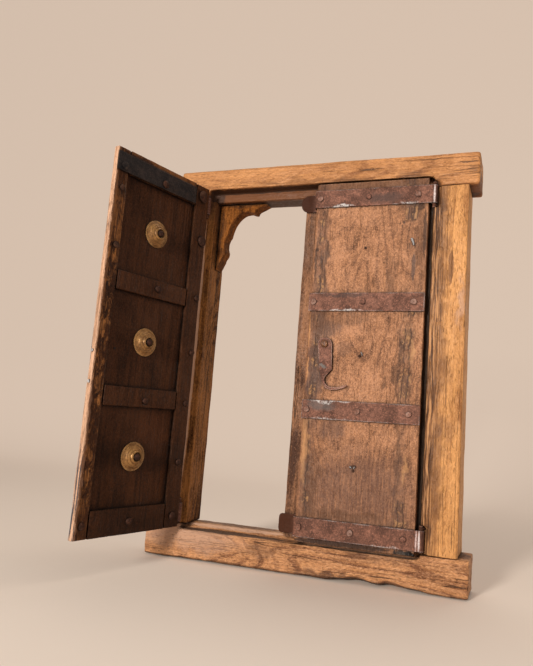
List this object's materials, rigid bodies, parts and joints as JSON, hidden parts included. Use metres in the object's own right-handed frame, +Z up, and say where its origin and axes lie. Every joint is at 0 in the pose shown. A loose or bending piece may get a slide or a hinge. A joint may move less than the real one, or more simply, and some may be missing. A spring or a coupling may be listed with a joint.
{
  "type": "jharokha window",
  "caption": "Small jharokha window: a heavy joined hardwood frame with ogee brackets and two pin-hinged, iron-strapped shutter leaves with turned bosses and a swinging hook.",
  "frame": {"origin": "middle of the sill's underside", "axes": "+X to the right along the wall, -Y towards the viewer and the side the leaves open to, +Z up"},
  "size_m": [0.526, 0.2563, 0.66],
  "materials": {
    "frame_wood": "worn, waxed golden brown hardwood with open grain",
    "sill_wood": "worn hardwood with a bark edge and flame figure",
    "bracket_wood": "carved orange-brown hardwood, worn edges",
    "leaf_wood_inner": "dry medium brown planks with dark stains",
    "leaf_wood_dark": "smoke-darkened, nearly black wood with worn edges",
    "rusty_iron": "hand-forged iron, red-brown rust with bare worn edges",
    "dark_iron": "hand-forged iron, black and waxy",
    "aged_brass": "turned and darkened brass, dull ochre"
  },
  "bodies": {
    "frame": {"sill": "sill_wood", "header": "frame_wood", "jamb_left": "frame_wood", "jamb_right": "frame_wood", "bracket_left": "bracket_wood", "bracket_right": "bracket_wood", "pintle_left_top": "dark_iron", "pintle_left_bottom": "dark_iron", "pintle_right_top": "dark_iron", "pintle_right_bottom": "dark_iron"},
    "left_leaf": {"left_board": "leaf_wood_inner", "left_hinge_stile": "leaf_wood_dark", "left_free_stile": "leaf_wood_dark", "left_rail_1": "leaf_wood_dark", "left_rail_2": "leaf_wood_dark", "left_rail_3": "leaf_wood_dark", "left_rail_4": "leaf_wood_dark", "left_hinge_strap_top": "rusty_iron", "left_strap_upper": "rusty_iron", "left_strap_lower": "rusty_iron", "left_hinge_strap_bottom": "rusty_iron", "left_outer_strap": "dark_iron", "left_boss_1": "aged_brass", "left_boss_2": "aged_brass", "left_boss_3": "aged_brass", "left_boss_nail_1": "dark_iron", "left_boss_nail_2": "dark_iron", "left_boss_nail_3": "dark_iron", "hook_staple": "dark_iron"},
    "right_leaf": {"right_board": "leaf_wood_inner", "right_hinge_stile": "leaf_wood_inner", "right_free_stile": "leaf_wood_inner", "right_rail_1": "leaf_wood_inner", "right_rail_2": "leaf_wood_inner", "right_rail_3": "leaf_wood_inner", "right_rail_4": "leaf_wood_inner", "right_hinge_strap_top": "rusty_iron", "right_strap_upper": "rusty_iron", "right_strap_lower": "rusty_iron", "right_hinge_strap_bottom": "rusty_iron", "right_outer_strap": "dark_iron", "right_boss_1": "aged_brass", "right_boss_2": "aged_brass", "right_boss_3": "aged_brass", "right_boss_nail_1": "dark_iron", "right_boss_nail_2": "dark_iron", "right_boss_nail_3": "dark_iron", "astragal": "leaf_wood_inner", "hook_rivet": "rusty_iron", "hook_washer": "dark_iron"},
    "hook": {"hook": "rusty_iron"}
  },
  "joints": [
    {"name": "left_leaf_hinge", "type": "hinge", "parent": "frame", "child": "left_leaf", "pos_m": [-0.2048, -0.029, 0], "axis": [0, 0, 1], "range_deg": [-14.9, 105.1]},
    {"name": "right_leaf_hinge", "type": "hinge", "parent": "frame", "child": "right_leaf", "pos_m": [0.19245, -0.029, 0], "axis": [0, 0, 1], "range_deg": [0, 120]},
    {"name": "hook_swing", "type": "hinge", "parent": "right_leaf", "child": "hook", "pos_m": [0.03035, -0.0351, 0.35383], "axis": [0, 1, 0], "range_deg": [-90, 115]}
  ]
}
